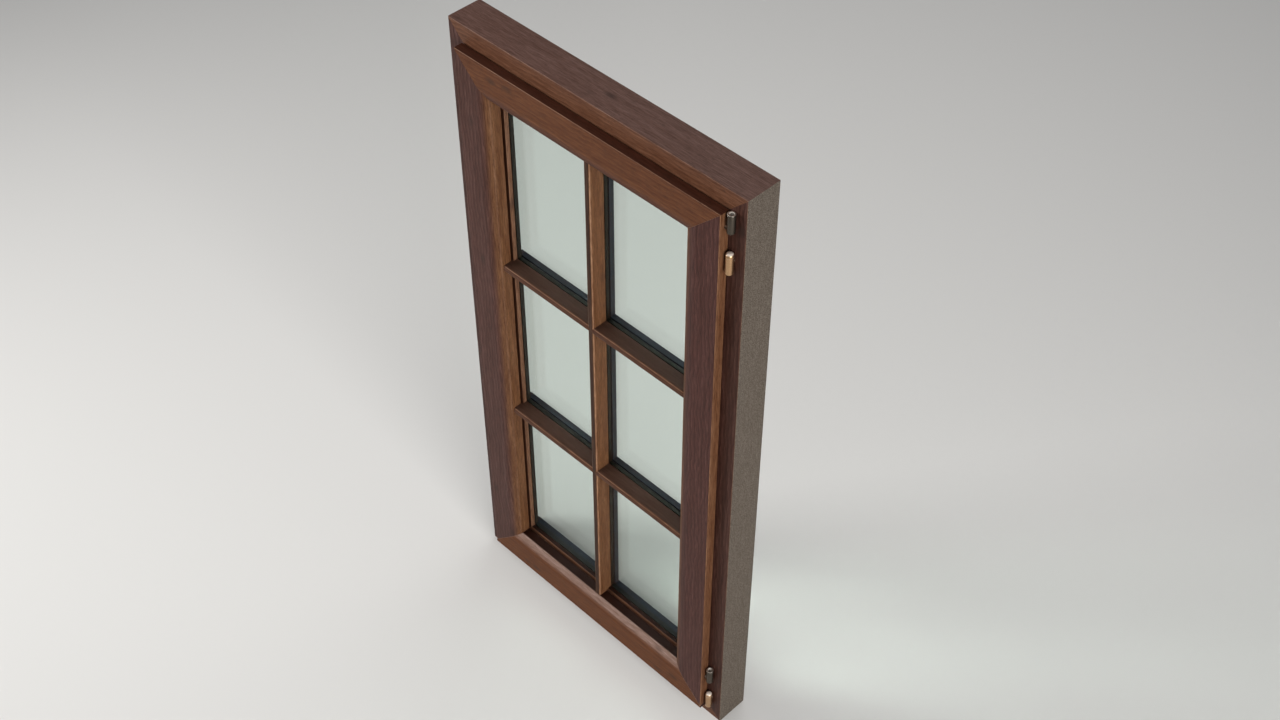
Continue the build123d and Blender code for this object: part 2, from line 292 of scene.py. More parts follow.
    # Pores: dark ticks, drawn 0.8 mm by 7 mm where real ones are finer, so that they show
    pore_place = add(tree, "Mapping", {"Scale": (1 / 0.0008, 1 / 0.0008, 1 / 0.007)}, {"Vector": grain})
    pore = add(tree, "TexNoise", {"Scale": 1.0, "Detail": 1.0}, {"Vector": pore_place.outputs["Vector"]})
    pore_share = add(tree, "MapRange", {"From Min": 0.60, "From Max": 0.72, "To Max": 0.5},
                     {"Value": pore.outputs["Fac"]})
    pored = add(tree, "Mix", {"data_type": "RGBA", 7: linear("#1E120D")},
                {0: pore_share.outputs["Result"], 6: streaked.outputs[2]})

    # Knots: smudges about 8 mm by 18 mm, in cells of 45 mm by 95 mm
    knot_place = add(tree, "Mapping", {"Scale": (1 / 0.045, 1 / 0.045, 1 / 0.095)}, {"Vector": grain})
    knot = add(tree, "TexVoronoi", {"Scale": 1.0}, {"Vector": knot_place.outputs["Vector"]})
    knot_share = add(tree, "MapRange",
                     {"interpolation_type": "SMOOTHSTEP", "From Min": 0.20, "From Max": 0.03,
                      "To Max": 0.55},
                     {"Value": knot.outputs["Distance"]})
    knotted = add(tree, "Mix", {"data_type": "RGBA", 7: linear("#2A1C15")},
                  {0: knot_share.outputs["Result"], 6: pored.outputs[2]})

    colour = knotted.outputs[2]
    shine = add(tree, "MapRange", {"To Min": 0.42, "To Max": 0.56}, {"Value": fibre.outputs["Fac"]})
    roughness = shine.outputs["Result"]

    # Sides that go against the wall are left bare: sanded, pale, with a 1.8 mm speckle. The bare
    # skin starts 1.2 mm before the frame's side and is full at 0.6 mm.
    if bare:
        along = add(tree, "SeparateXYZ", links={"Vector": place.outputs["Object"]})
        out = add(tree, "Math", {"operation": "ABSOLUTE"}, {0: along.outputs["X"]})
        is_bare = add(tree, "MapRange",
                      {"From Min": FRAME_WIDTH / 2 - 0.0012, "From Max": FRAME_WIDTH / 2 - 0.0006},
                      {"Value": out.outputs[0]})
        speckle = add(tree, "TexNoise", {"Scale": 1 / 0.0018, "Detail": 2.0, "Roughness": 0.7},
                      {"Vector": place.outputs["Object"]})
        speckle_share = add(tree, "MapRange", {"From Min": 0.3, "From Max": 0.7},
                            {"Value": speckle.outputs["Fac"]})
        bare_tint = add(tree, "Mix", {"data_type": "RGBA", 6: linear("#8F8780"), 7: linear("#FFFFFF")},
                        {0: speckle_share.outputs["Result"]})
        bare_streak = add(tree, "Mix",
                          {"data_type": "RGBA", "blend_type": "MULTIPLY", 0: 0.4, 6: linear(bare)},
                          {7: fibre_tint.outputs[2]})
        bare_colour = add(tree, "Mix", {"data_type": "RGBA", "blend_type": "MULTIPLY", 0: 1.0},
                          {6: bare_streak.outputs[2], 7: bare_tint.outputs[2]})
        sided = add(tree, "Mix", {"data_type": "RGBA"},
                    {0: is_bare.outputs["Result"], 6: colour, 7: bare_colour.outputs[2]})
        colour = sided.outputs[2]
        dull = add(tree, "Mix", {"data_type": "FLOAT", 3: 0.85},
                   {0: is_bare.outputs["Result"], 2: roughness})
        roughness = dull.outputs[0]

    relief = add(tree, "Math", {"operation": "SUBTRACT"},
                 {0: fibre.outputs["Fac"], 1: pore_share.outputs["Result"]})
    bump = add(tree, "Bump", {"Strength": 0.35, "Distance": 0.0003}, {"Height": relief.outputs[0]})
    shader.inputs["Specular IOR Level"].default_value = 0.12
    tree.links.new(colour, shader.inputs["Base Color"])
    tree.links.new(roughness, shader.inputs["Roughness"])
    tree.links.new(bump.outputs["Normal"], shader.inputs["Normal"])
    return material


def stand_for(piece, node, material):
    """Give a piece its finish and let it stand for its node of the frame."""
    piece.data.materials.append(material)
    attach(piece, "root")
    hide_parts(node)


frame_run = sawn_blank("frame_run", (-RUN_HALF, FRAME_FRONT, 0), (RUN_HALF, FRAME_BACK, FRAME_LEG))
score((0, STOP_FACE, 0), (0, 1, 0))
raise_faces(lambda f: f.normal.z > SQUARELY and f.calc_center_median().y > STOP_FACE, (0, 0, STOP_RISE))
score((0, 0, seal_low.z), (0, 0, 1))
score((0, 0, seal_high.z), (0, 0, 1))
raise_faces(
    lambda f: f.normal.y < -SQUARELY and seal_low.z < f.calc_center_median().z < seal_high.z,
    (0, SEAL_GROOVE, 0))
ease([(FRAME_FRONT, 0), (FRAME_FRONT, FRAME_LEG), (FRAME_BACK, STOP_EDGE), (FRAME_BACK, 0)], EASED)
bpy.ops.object.mode_set(mode="OBJECT")

# The two jambs differ only in the face: the right one's is painted darker, as painted shade from the sash
# beside it. The jambs' edges are painted lighter, as lit sides.
frame_left = stained_mahogany("mahogany_frame_left", True, "#614541", "#7A563D", bare="#746B61")
frame_right = stained_mahogany("mahogany_frame_right_shaded", True, "#5B3E36", "#7A563D", bare="#746B61")
frame_level = stained_mahogany("mahogany_frame_level", False, "#74503C", "#73564D")
for side, node, material in (
    ("bottom", "frame_sill", frame_level),
    ("left", "frame_left_jamb", frame_left),
    ("top", "frame_head", frame_level),
    ("right", "frame_right_jamb", frame_right),
):
    member = cut_member(frame_run, node + "_timber", side, FRAME_WIDTH, FRAME_HEIGHT, FRAME_HEIGHT / 2)
    stand_for(member, node, material)
bpy.data.objects.remove(frame_run)

# Seal: an extruded black rubber strip pressed into the stop's groove, which the sash shuts on.
# Matt, with dust in patches of 6 mm, and the die's faint lengthwise lines, drawn 0.8 mm apart
# where real ones are finer, so that they show.
rubber, tree, shader = new_material("black_rubber_extruded")
place = add(tree, "TexCoord")
dust = add(tree, "TexNoise", {"Scale": 1 / 0.006, "Detail": 4.0}, {"Vector": place.outputs["Object"]})
rubber_colour = add(tree, "Mix", {"data_type": "RGBA", 6: linear("#141415"), 7: linear("#2A2A2B")},
                    {0: dust.outputs["Fac"]})
rubber_shine = add(tree, "MapRange", {"To Min": 0.55, "To Max": 0.8}, {"Value": dust.outputs["Fac"]})
drawn_place = add(tree, "Mapping", {"Scale": (1 / 0.060, 1 / 0.0008, 1 / 0.060)},
                  {"Vector": place.outputs["Object"]})
drawn = add(tree, "TexNoise", {"Scale": 1.0, "Detail": 2.0}, {"Vector": drawn_place.outputs["Vector"]})
rubber_bump = add(tree, "Bump", {"Strength": 0.2, "Distance": 0.0002}, {"Height": drawn.outputs["Fac"]})
tree.links.new(rubber_colour.outputs[2], shader.inputs["Base Color"])
tree.links.new(rubber_shine.outputs["Result"], shader.inputs["Roughness"])
tree.links.new(rubber_bump.outputs["Normal"], shader.inputs["Normal"])


def finish_node(node, material):
    """Give a node of the frame, whose shape stays, its finish."""
    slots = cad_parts[node].data.materials
    slots.clear()
    slots.append(material)


for side in TURNS:
    finish_node("seal_" + side, rubber)

# Sash: stiles and rails of one moulded mahogany section, mitred at the corners, the bottom rail
# a little wider. A cover laps the frame, a broad moulding falls from the flat face to the glass,
# and a rebate open to the outside takes the glazing.
stile_low, stile_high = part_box("sash_left_stile")
rail_low, rail_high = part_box("sash_bottom_rail")
bead_low, bead_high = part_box("inner_bead_left")
SASH_WIDTH = rail_high.x - rail_low.x
SASH_HEIGHT = stile_high.z - stile_low.z
SASH_MIDDLE = (stile_high.z + stile_low.z) / 2
SASH_FRONT = stile_low.y
SASH_BACK = stile_high.y
SIGHT = stile_high.x - stile_low.x
GLASS_SEAT = bead_low.x - stile_low.x
LIP_BACK = bead_low.y
COVER_GAP = 0.001
COVER_BACK = FRAME_FRONT - COVER_GAP
RAIL_EXTRA = stile_low.z - rail_low.z
SIDE_BODY = 0.027
RAIL_BODY = 0.023
FACE_FLAT = 0.045
MOULD_DEPTH = 0.0127
NOSE = 0.007
MOULD_CUTS = 9
FLUSH = math.radians(1)


def sash_run(name, low, body):
    """A length of the sash's section, with its cover's edge and its body's edge at these heights."""
    run = sawn_blank(name, (-RUN_HALF, SASH_FRONT, body), (RUN_HALF, SASH_BACK, GLASS_SEAT))
    score((0, LIP_BACK, 0), (0, 1, 0))
    score((0, COVER_BACK, 0), (0, 1, 0))
    raise_faces(lambda f: f.normal.z > SQUARELY and f.calc_center_median().y < LIP_BACK,
                (0, 0, SIGHT - GLASS_SEAT))
    raise_faces(lambda f: f.normal.z < -SQUARELY and f.calc_center_median().y < COVER_BACK,
                (0, 0, low - body))
    bpy.ops.mesh.select_all(action="SELECT")
    bpy.ops.mesh.dissolve_limited(angle_limit=FLUSH)
    # The moulding is planed round in flats: a slow sweep off the face, then the tight nose
    across = SIGHT - FACE_FLAT - NOSE
    sweep = (across**2 + MOULD_DEPTH**2 - NOSE**2) / (2 * (MOULD_DEPTH - NOSE))
    meeting = math.asin(across / (sweep - NOSE))
    arcs = (
        (SASH_FRONT + sweep, FACE_FLAT, sweep, 0, meeting),
        (SASH_FRONT + MOULD_DEPTH, SIGHT - NOSE, NOSE, meeting, math.pi / 2),
    )
    for centre_y, centre_z, radius, start, end in arcs:
        for cut in range(MOULD_CUTS):
            turn = start + (end - start) * (cut + 0.5) / MOULD_CUTS
            normal = (0, -math.cos(turn), math.sin(turn))
            saw((0, centre_y + radius * normal[1], centre_z + radius * normal[2]), normal)
    ease([(SASH_FRONT, low), (COVER_BACK, low), (SASH_BACK, body)], EASED)
    bpy.ops.object.mode_set(mode="OBJECT")
    return run


side_run = sash_run("side_run", 0, SIDE_BODY)
rail_run = sash_run("rail_run", -RAIL_EXTRA, RAIL_BODY)
# Painted light and shade on the sash: the right stile's face is painted darker than the left's, as painted
# shade, and the left stile's painted highlight is dimmer. The top rail's upward edge is painted dark, as
# painted shade under the frame's head; the bottom rail's upward ledges are painted nearly black, as painted
# shade, and its moulding carries a broad pale pink painted sheen.
sash_left = stained_mahogany("mahogany_sash_left", True, "#61433D", "#7A563B", painted_highlight="#84624A",
                             turn=(0.89, 0.998), highlight_span=(0.84, 0.75))
sash_right = stained_mahogany("mahogany_sash_right", True, "#5D3C37", "#7A563D", painted_highlight="#9A7758",
                              highlight_span=(0.84, 0.75))
sash_head = stained_mahogany("mahogany_sash_head", False, "#6D4429", "#532F21", painted_highlight="#A27E62",
                             turn=(0.92, 1.0), highlight_span=(0.87, 0.80))
sash_foot = stained_mahogany("mahogany_sash_foot", False, "#6D4223", "#270F06", painted_highlight="#A48F87",
                             turn=(0.25, 0.4), highlight_span=(1.0, 0.91))
for side, node, material, run in (
    ("bottom", "sash_bottom_rail", sash_foot, rail_run),
    ("left", "sash_left_stile", sash_left, side_run),
    ("top", "sash_top_rail", sash_head, side_run),
    ("right", "sash_right_stile", sash_right, side_run),
):
    member = cut_member(run, node + "_timber", side, SASH_WIDTH, SASH_HEIGHT, SASH_MIDDLE)
    stand_for(member, node, material)
bpy.data.objects.remove(side_run)
bpy.data.objects.remove(rail_run)

# Inner beads: slim mahogany strips that hold the glass from the room side, pinned into the
# rebate so that a narrow shadow groove is left between them and the sash.
pane_low, pane_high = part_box("inner_pane")
GLASS_FACE = pane_low.y
SHADOW_GROOVE = 0.0035
BEAD_STAND = LIP_BACK + SHADOW_GROOVE
BEAD_EDGE = bead_high.x - stile_low.x
BEAD_STEP = 0.010
BEAD_FOOT = GLASS_SEAT + BEAD_STEP
BEAD_EASED = 0.0012
bead_run = sawn_blank("bead_run", (-RUN_HALF, LIP_BACK, GLASS_SEAT), (RUN_HALF, GLASS_FACE, BEAD_FOOT))
score((0, BEAD_STAND, 0), (0, 1, 0))
raise_faces(lambda f: f.normal.z > SQUARELY and f.calc_center_median().y > BEAD_STAND,
            (0, 0, BEAD_EDGE - BEAD_FOOT))
ease([(BEAD_STAND, BEAD_EDGE)], BEAD_EASED)
bpy.ops.object.mode_set(mode="OBJECT")

# Painted shade: the upright beads' faces, down in the shadow groove, are painted dark, and the level beads'
# upward faces are painted nearly black; the uprights' edges are painted lighter, as lit sides.
bead_upright = stained_mahogany("mahogany_bead_upright", True, "#4A2E20", "#7C5B46")
bead_level = stained_mahogany("mahogany_bead_level", False, "#73503C", "#270F06", turn=(0.25, 0.4))
for side, material in (
    ("bottom", bead_level),
    ("left", bead_upright),
    ("top", bead_level),
    ("right", bead_upright),
):
    node = "inner_bead_" + side
    member = cut_member(bead_run, node + "_timber", side, SASH_WIDTH, SASH_HEIGHT, SASH_MIDDLE)
    stand_for(member, node, material)
bpy.data.objects.remove(bead_run)

# Glazing: two sheets of 4 mm float glass, 8 mm apart, sealed at the edge to the spacers. Clear,
# with a trace of green and a faint film from wiping, in smears of 120 mm by 30 mm. Its index is
# lower than real glass has, so that the floor's reflection doesn't veil the bars behind it.
glass, tree, shader = new_material("clear_float_glass")
shader.inputs["Base Color"].default_value = linear("#F4FAF7")
shader.inputs["IOR"].default_value = 1.25
shader.inputs["Specular IOR Level"].default_value = 0.2
shader.inputs["Transmission Weight"].default_value = 1.0
place = add(tree, "TexCoord")
wiped = add(tree, "Mapping", {"Scale": (1 / 0.120, 1 / 0.120, 1 / 0.030)},
            {"Vector": place.outputs["Object"]})
film = add(tree, "TexNoise", {"Scale": 1.0, "Detail": 3.0, "Distortion": 0.8},
           {"Vector": wiped.outputs["Vector"]})
film_shine = add(tree, "MapRange", {"From Min": 0.45, "From Max": 0.80, "To Max": 0.03},
                 {"Value": film.outputs["Fac"]})
tree.links.new(film_shine.outputs["Result"], shader.inputs["Roughness"])

# Lamps shine through the panes, which cast no dark shadow
path = add(tree, "LightPath")
open_to_lamps = add(tree, "BsdfTransparent", {"Color": linear("#F4FAF7")})
lit = add(tree, "MixShader", links={0: path.outputs["Is Shadow Ray"], 1: shader.outputs["BSDF"],
                                    2: open_to_lamps.outputs["BSDF"]})
output = next(n for n in tree.nodes if n.type == "OUTPUT_MATERIAL")
tree.links.new(lit.outputs["Shader"], output.inputs["Surface"])
finish_node("inner_pane", glass)
finish_node("outer_pane", glass)

# Spacers: rolled aluminium strip, dyed black in the anodising bath, stuck to both panes at their
# edge. The black is matt and even, with the fine lengthwise lines of the rolls under it, drawn
# 1 mm apart and 40 mm long, so that they show.
anodised, tree, shader = new_material("aluminium_anodised_black")
place = add(tree, "TexCoord")
rolled_place = add(tree, "Mapping", {"Scale": (1 / 0.040, 1 / 0.0010, 1 / 0.040)},
                   {"Vector": place.outputs["Object"]})
rolled = add(tree, "TexNoise", {"Scale": 1.0, "Detail": 3.0}, {"Vector": rolled_place.outputs["Vector"]})
anodised_colour = add(tree, "Mix", {"data_type": "RGBA", 6: linear("#0B0C0B"), 7: linear("#171816")},
                      {0: rolled.outputs["Fac"]})
anodised_shine = add(tree, "MapRange", {"To Min": 0.50, "To Max": 0.70}, {"Value": rolled.outputs["Fac"]})
anodised_bump = add(tree, "Bump", {"Strength": 0.15, "Distance": 0.0001}, {"Height": rolled.outputs["Fac"]})
shader.inputs["Specular IOR Level"].default_value = 0.2
tree.links.new(anodised_colour.outputs[2], shader.inputs["Base Color"])
tree.links.new(anodised_shine.outputs["Result"], shader.inputs["Roughness"])
tree.links.new(anodised_bump.outputs["Normal"], shader.inputs["Normal"])
for side in TURNS:
    finish_node("spacer_" + side, anodised)

# Bars between the panes: rolled aluminium section with a satin mill finish, cut to fit between
# the spacers. It has the same lengthwise lines, and a slight cloudiness in patches of 30 mm.
aluminium, tree, shader = new_material("aluminium_rolled_satin")
place = add(tree, "TexCoord")
rolled_place = add(tree, "Mapping", {"Scale": (1 / 0.040, 1 / 0.0010, 1 / 0.040)},
                   {"Vector": place.outputs["Object"]})
rolled = add(tree, "TexNoise", {"Scale": 1.0, "Detail": 3.0}, {"Vector": rolled_place.outputs["Vector"]})
cloud = add(tree, "TexNoise", {"Scale": 1 / 0.030, "Detail": 2.0}, {"Vector": place.outputs["Object"]})
aluminium_colour = add(tree, "Mix", {"data_type": "RGBA", 6: linear("#242523"), 7: linear("#343632")},
                       {0: cloud.outputs["Fac"]})
aluminium_shine = add(tree, "MapRange", {"To Min": 0.35, "To Max": 0.55}, {"Value": rolled.outputs["Fac"]})
aluminium_bump = add(tree, "Bump", {"Strength": 0.15, "Distance": 0.0001},
                     {"Height": rolled.outputs["Fac"]})
shader.inputs["Metallic"].default_value = 1.0
tree.links.new(aluminium_colour.outputs[2], shader.inputs["Base Color"])
tree.links.new(aluminium_shine.outputs["Result"], shader.inputs["Roughness"])
tree.links.new(aluminium_bump.outputs["Normal"], shader.inputs["Normal"])
BAR_PLACES = ("upright", "lower_left", "lower_right", "upper_left", "upper_right")
for bar_place in BAR_PLACES:
    finish_node("cavity_bar_" + bar_place, aluminium)

# Outer beads, drip bar and outer bars: extruded aluminium with a dark blue-grey powder coat,
# clipped over the glass on the weather side. The coat has a soft sheen, an orange peel of 1.2 mm,
# and is weathered in patches of 60 mm.
coated, tree, shader = new_material("aluminium_powder_coated_slate")
place = add(tree, "TexCoord")
peel = add(tree, "TexNoise", {"Scale": 1 / 0.0012, "Detail": 2.0}, {"Vector": place.outputs["Object"]})
weather = add(tree, "TexNoise", {"Scale": 1 / 0.060, "Detail": 4.0}, {"Vector": place.outputs["Object"]})
coat_colour = add(tree, "Mix", {"data_type": "RGBA", 6: linear("#1A1D27"), 7: linear("#262B38")},
                  {0: weather.outputs["Fac"]})
coat_shine = add(tree, "MapRange", {"To Min": 0.38, "To Max": 0.55}, {"Value": weather.outputs["Fac"]})
coat_bump = add(tree, "Bump", {"Strength": 0.2, "Distance": 0.0002}, {"Height": peel.outputs["Fac"]})
shader.inputs["Specular IOR Level"].default_value = 0.2
tree.links.new(coat_colour.outputs[2], shader.inputs["Base Color"])
tree.links.new(coat_shine.outputs["Result"], shader.inputs["Roughness"])
tree.links.new(coat_bump.outputs["Normal"], shader.inputs["Normal"])
for side in TURNS:
    finish_node("outer_bead_" + side, coated)
for bar_place in BAR_PLACES:
    finish_node("outer_bar_" + bar_place, coated)

# Room-side glazing bars: mahogany strips with well rounded front edges, bedded on the glass. The
# upright runs through; the cross bars are scribed to it, and all of them are notched over the beads.
upright_low, upright_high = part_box("inner_bar_upright")
BAR_FRONT = upright_low.y
BAR_HALF = (upright_high.x - upright_low.x) / 2
BAR_ROUND = 0.0045
BAR_HOUSED = 0.0004
opening_half = SASH_WIDTH / 2 - SIGHT
opening_reach = SASH_HEIGHT / 2 - SIGHT
bead_half = SASH_WIDTH / 2 - BEAD_EDGE
bead_reach = SASH_HEIGHT / 2 - BEAD_EDGE


def bar_run(name, half_length, reach):
    """A level bar about the origin, its ends notched over the beads, up to the given reach."""
    run = sawn_blank(name, (-half_length, BAR_FRONT, -BAR_HALF), (half_length, GLASS_FACE, BAR_HALF))
    score((0, BEAD_STAND, 0), (0, 1, 0))
    for sign in (-1, 1):
        raise_faces(lambda f: sign * f.normal.x > SQUARELY and f.calc_center_median().y < BEAD_STAND,
                    (sign * (reach - half_length), 0, 0))
    pick("EDGE", lambda edge: all(
        abs(v.co.y - BAR_FRONT) < TOUCHING and abs(v.co.z - edge.verts[0].co.z) < TOUCHING
        for v in edge.verts))
    bpy.ops.mesh.bevel(offset=BAR_ROUND, segments=6, affect="EDGES")
    bpy.ops.mesh.select_all(action="SELECT")
    bpy.ops.mesh.dissolve_limited(angle_limit=FLUSH)
    bpy.ops.object.mode_set(mode="OBJECT")
    return run


# Painted light and shade: the upright bar's front is painted darker and its sides lighter, as lit sides,
# with a painted highlight on its rounds; the cross bars' upward faces are painted darker, as painted shade.
bar_upright = stained_mahogany("mahogany_bar_upright", True, "#4C3322", "#7A563B", painted_highlight="#B58E70",
                               highlight_span=(0.92, 0.80))
bar_level = stained_mahogany("mahogany_bar_level", False, "#5E3E2C", "#4B342A", turn=(0.25, 0.4))
upright = bar_run("inner_bar_upright_timber", bead_reach, opening_reach + BAR_HOUSED)
upright.rotation_euler.y = math.pi / 2
upright.location.z = SASH_MIDDLE
settle()
stand_for(upright, "inner_bar_upright", bar_upright)

cross = bar_run("cross_run", bead_half, opening_half + BAR_HOUSED)
for level in ("lower", "upper"):
    for side, sign in (("left", -1), ("right", 1)):
        node = "inner_bar_" + level + "_" + side
        bar_low, bar_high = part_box(node)
        bar = copy_of(cross, node + "_timber")
        bpy.ops.object.mode_set(mode="EDIT")
        saw((0, 0, 0), (-sign, 0, 0))
        bpy.ops.object.mode_set(mode="OBJECT")
        bar.location.z = (bar_low.z + bar_high.z) / 2
        settle()
        scribe = bar.modifiers.new("scribe", "BOOLEAN")
        scribe.object = upright
        scribe.solver = "EXACT"
        bpy.ops.object.modifier_apply(modifier=scribe.name)
        soften(bar)
        stand_for(bar, node, bar_level)
bpy.data.objects.remove(cross)
soften(upright)

# Hinge sleeves: turned steel tubes with a satin nickel plate, screwed into the sash's edge by a
# stem, bored through for the spindle, the rims broken by a small bevel. The plate is a dim warm
# grey with turning lines, drawn 0.6 mm apart so that they show, and its upward rims are painted
# pale as a painted highlight.
sleeve_low, sleeve_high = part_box("upper_hinge_sleeve")
HINGE_RADIUS = (sleeve_high.y - sleeve_low.y) / 2
HINGE_X = sleeve_high.x - HINGE_RADIUS
HINGE_Y = (sleeve_low.y + sleeve_high.y) / 2
SLEEVE_LENGTH = sleeve_high.z - sleeve_low.z
SLEEVE_WALL = 0.0026
BORE_RADIUS = HINGE_RADIUS - SLEEVE_WALL
SLEEVE_STEM_DROP = 0.012
STEM_RADIUS = 0.0035
STEM_LENGTH = 0.020
STEM_HOUSED = 0.001
RIM = 0.0005
stem_out = HINGE_RADIUS + STEM_LENGTH / 2 - STEM_HOUSED
sleeve_top = SLEEVE_LENGTH / 2

nickel, tree, shader = new_material("steel_nickel_plated_satin")
place = add(tree, "TexCoord")
turned = add(tree, "Mapping", {"Scale": (1 / 0.02, 1 / 0.02, 1 / 0.0006)},
             {"Vector": place.outputs["Object"]})
lines = add(tree, "TexNoise", {"Scale": 1.0, "Detail": 3.0}, {"Vector": turned.outputs["Vector"]})
nickel_colour = add(tree, "Mix", {"data_type": "RGBA", 6: linear("#453F37"), 7: linear("#5E564D")},
                    {0: lines.outputs["Fac"]})
facing = add(tree, "SeparateXYZ", links={"Vector": place.outputs["Normal"]})
# Painted highlight: where the surface faces up, on the top rims, the plate is painted pale
rim_highlight_share = add(tree, "MapRange", {"From Min": 0.3, "From Max": 0.7}, {"Value": facing.outputs["Z"]})
nickel_rim_highlight = add(tree, "Mix", {"data_type": "RGBA", 7: linear("#D8D0C4")},
                 {0: rim_highlight_share.outputs["Result"], 6: nickel_colour.outputs[2]})
nickel_shine = add(tree, "MapRange", {"To Min": 0.35, "To Max": 0.50}, {"Value": lines.outputs["Fac"]})
nickel_bump = add(tree, "Bump", {"Strength": 0.1, "Distance": 0.0001}, {"Height": lines.outputs["Fac"]})

# The plate doesn't reach into the bore, which is drilled, oxidised and matt: it starts 0.1 mm
# outside the bore and is full at 0.4 mm
from_axis = add(tree, "Mapping", {"Location": (-HINGE_X, -HINGE_Y, 0), "Scale": (1, 1, 0)},
                {"Vector": place.outputs["Object"]})
radius = add(tree, "VectorMath", {"operation": "LENGTH"}, {0: from_axis.outputs["Vector"]})
plated = add(tree, "MapRange", {"From Min": BORE_RADIUS + 0.0001, "From Max": BORE_RADIUS + 0.0004},
             {"Value": radius.outputs["Value"]})
nickel_bored = add(tree, "Mix", {"data_type": "RGBA", 6: linear("#C8C0B6")},
                   {0: plated.outputs["Result"], 7: nickel_rim_highlight.outputs[2]})
tree.links.new(nickel_bored.outputs[2], shader.inputs["Base Color"])
tree.links.new(plated.outputs["Result"], shader.inputs["Metallic"])
tree.links.new(nickel_shine.outputs["Result"], shader.inputs["Roughness"])
tree.links.new(nickel_bump.outputs["Normal"], shader.inputs["Normal"])


def hang(half, name, node, material):
    """Set a copy of half a hinge on the axis, at its node's height, in place of the node."""
    low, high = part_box(node)
    knuckle = copy_of(half, name)
    knuckle.location = (HINGE_X, HINGE_Y, (low.z + high.z) / 2)
    settle()
    stand_for(knuckle, node, material)


bpy.ops.object.select_all(action="DESELECT")
bpy.ops.mesh.primitive_cylinder_add(vertices=48, radius=HINGE_RADIUS, depth=SLEEVE_LENGTH)
sleeve = bpy.context.object
bpy.ops.object.mode_set(mode="EDIT")
pick("FACE", lambda f: abs(f.normal.z) > SQUARELY)
bpy.ops.mesh.inset(thickness=SLEEVE_WALL)
bpy.ops.mesh.delete(type="FACE")
pick("EDGE", lambda e: all(v.co.xy.length < HINGE_RADIUS - SLEEVE_WALL / 2 for v in e.verts))
bpy.ops.mesh.bridge_edge_loops()
pick("EDGE", lambda e: all(abs(abs(v.co.z) - sleeve_top) < TOUCHING for v in e.verts)
     and abs(e.verts[0].co.xy.length - e.verts[1].co.xy.length) < TOUCHING)
bpy.ops.mesh.bevel(offset=RIM, segments=3, affect="EDGES")
bpy.ops.mesh.select_all(action="SELECT")
bpy.ops.mesh.normals_make_consistent()
bpy.ops.mesh.primitive_cylinder_add(
    vertices=24, radius=STEM_RADIUS, depth=STEM_LENGTH, rotation=(0, math.pi / 2, 0),
    location=(-stem_out, 0, -SLEEVE_STEM_DROP))
bpy.ops.object.mode_set(mode="OBJECT")
bpy.ops.object.shade_smooth_by_angle(angle=SHARP_ANGLE)
for level in ("upper", "lower"):
    hang(sleeve, level + "_sleeve_knuckle", level + "_hinge_sleeve", nickel)
bpy.data.objects.remove(sleeve)

# Hinge pins: turned brass, polished, with a domed head above a fine groove. Each is screwed into
# the frame's face by a stem, on the sleeves' axis. A warm gold, with turning lines drawn 0.5 mm
# apart so that they show, and a dome painted pale as a painted highlight, made rougher and less
# metallic.
pin_low, pin_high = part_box("upper_hinge_pin")
PIN_LENGTH = pin_high.z - pin_low.z
PIN_DOME = 0.0052
GROOVE_DROP = 0.0068
GROOVE_HEIGHT = 0.0006
GROOVE_DEPTH = 0.0004
pin_top = PIN_LENGTH / 2
groove_top = pin_top - GROOVE_DROP
groove_foot = groove_top - GROOVE_HEIGHT

brass, tree, shader = new_material("brass_turned_polished")
place = add(tree, "TexCoord")
turned = add(tree, "Mapping", {"Scale": (1 / 0.02, 1 / 0.02, 1 / 0.0005)},
             {"Vector": place.outputs["Object"]})
lines = add(tree, "TexNoise", {"Scale": 1.0, "Detail": 2.0}, {"Vector": turned.outputs["Vector"]})
brass_colour = add(tree, "Mix", {"data_type": "RGBA", 6: linear("#A88460"), 7: linear("#C8A27C")},
                   {0: lines.outputs["Fac"]})
facing = add(tree, "SeparateXYZ", links={"Vector": place.outputs["Normal"]})
# Painted highlight: where the surface faces up, on the dome, the brass is painted pale, rougher and less
# metallic
dome_highlight_share = add(tree, "MapRange", {"From Min": 0.4, "From Max": 0.8}, {"Value": facing.outputs["Z"]})
brass_dome_highlight = add(tree, "Mix", {"data_type": "RGBA", 7: linear("#E2D6C8")},
                 {0: dome_highlight_share.outputs["Result"], 6: brass_colour.outputs[2]})
brass_shine = add(tree, "MapRange", {"To Min": 0.30, "To Max": 0.42}, {"Value": lines.outputs["Fac"]})
brass_dull = add(tree, "Mix", {"data_type": "FLOAT", 3: 0.60},
                 {0: dome_highlight_share.outputs["Result"], 2: brass_shine.outputs["Result"]})
dome_metal = add(tree, "MapRange", {"To Min": 1.0, "To Max": 0.25}, {"Value": dome_highlight_share.outputs["Result"]})
brass_bump = add(tree, "Bump", {"Strength": 0.1, "Distance": 0.0001}, {"Height": lines.outputs["Fac"]})
tree.links.new(brass_dome_highlight.outputs[2], shader.inputs["Base Color"])
tree.links.new(dome_metal.outputs["Result"], shader.inputs["Metallic"])
tree.links.new(brass_dull.outputs[0], shader.inputs["Roughness"])
tree.links.new(brass_bump.outputs["Normal"], shader.inputs["Normal"])

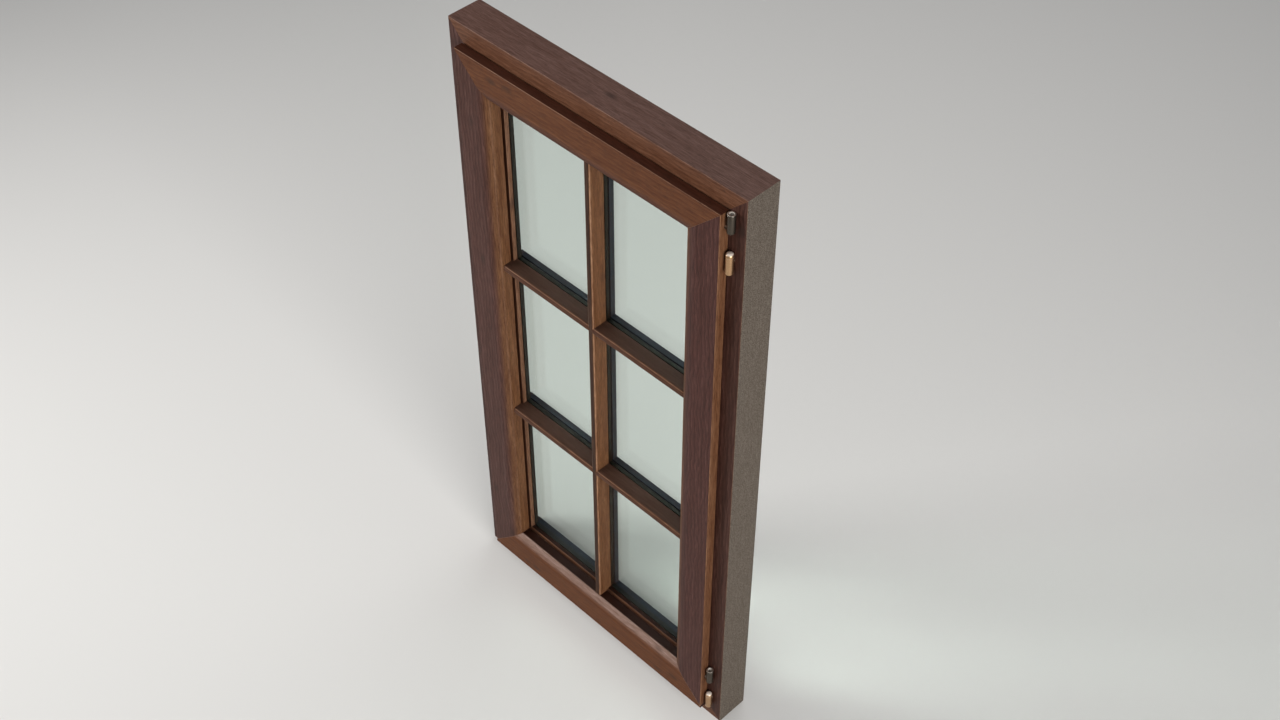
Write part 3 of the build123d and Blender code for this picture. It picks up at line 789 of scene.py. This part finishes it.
bpy.ops.object.select_all(action="DESELECT")
bpy.ops.mesh.primitive_cylinder_add(vertices=48, radius=HINGE_RADIUS, depth=PIN_LENGTH)
pin = bpy.context.object
bpy.ops.object.mode_set(mode="EDIT")
pick("EDGE", lambda e: all(v.co.z > pin_top - TOUCHING for v in e.verts))
bpy.ops.mesh.bevel(offset=PIN_DOME, segments=10, affect="EDGES")
pick("EDGE", lambda e: all(v.co.z < TOUCHING - pin_top for v in e.verts))
bpy.ops.mesh.bevel(offset=RIM, segments=3, affect="EDGES")
score((0, 0, groove_top), (0, 0, 1))
score((0, 0, groove_foot), (0, 0, 1))
pick("FACE", lambda f: groove_foot < f.calc_center_median().z < groove_top)
bpy.ops.mesh.extrude_region_shrink_fatten(TRANSFORM_OT_shrink_fatten={"value": -GROOVE_DEPTH})
bpy.ops.mesh.primitive_cylinder_add(
    vertices=24, radius=STEM_RADIUS, depth=STEM_LENGTH, rotation=(math.pi / 2, 0, 0),
    location=(0, stem_out, 0))
bpy.ops.object.mode_set(mode="OBJECT")
bpy.ops.object.shade_smooth_by_angle(angle=SHARP_ANGLE)
for level in ("upper", "lower"):
    hang(pin, level + "_pin_knuckle", level + "_hinge_pin", brass)
bpy.data.objects.remove(pin)

# Studio: a plain pale matt floor under the window, a large soft key from the front right at a low
# height, a weaker fill from the left, one lamp above and behind, and an even grey surround. The two
# front lamps have grids, which keep their light off the floor beside them.
FLOOR_SIZE = 30
bpy.ops.object.select_all(action="DESELECT")
bpy.ops.mesh.primitive_plane_add(size=FLOOR_SIZE)
floor = bpy.context.object
floor.name = "studio_floor"
floor_paint, tree, shader = new_material("studio_floor_matt")
shader.inputs["Base Color"].default_value = linear("#D8D6D2")
shader.inputs["Roughness"].default_value = 0.9
floor.data.materials.append(floor_paint)

for name, place, aim, size, power, spread in (
    ("key", (3.3, -1.3, 1.6), (73, 0, 69), 2.0, 57, 120),
    ("fill", (-2.6, -2.2, 2.0), (68, 0, -50), 1.2, 46, 120),
    ("back", (-0.6, 1.8, 3.2), (-37, 0, 18), 2.0, 22, 180),
):
    bpy.ops.object.light_add(type="AREA", location=place, rotation=[math.radians(a) for a in aim])
    lamp = bpy.context.object
    lamp.name = "studio_" + name
    lamp.data.size = size
    lamp.data.energy = power
    lamp.data.spread = math.radians(spread)

world = bpy.data.worlds.new("studio_surround")
world.use_nodes = True
world.node_tree.nodes["Background"].inputs["Color"].default_value = linear("#E6E8EC")
world.node_tree.nodes["Background"].inputs["Strength"].default_value = 0.35
bpy.context.scene.world = world
bpy.context.scene.view_settings.view_transform = "Standard"

# Camera: 45 degrees to the right of the window and 45 degrees above it, with a 50 mm lens. Its
# place was fitted to the straight edges in the photograph.
CAMERA_PLACE = (1.5571, -1.4843, 2.8696)
CAMERA_TURN = (math.radians(45), 0, math.radians(45))
bpy.ops.object.camera_add(location=CAMERA_PLACE, rotation=CAMERA_TURN)
camera = bpy.context.object
camera.data.lens = 50
camera.data.sensor_width = 36
bpy.context.scene.camera = camera
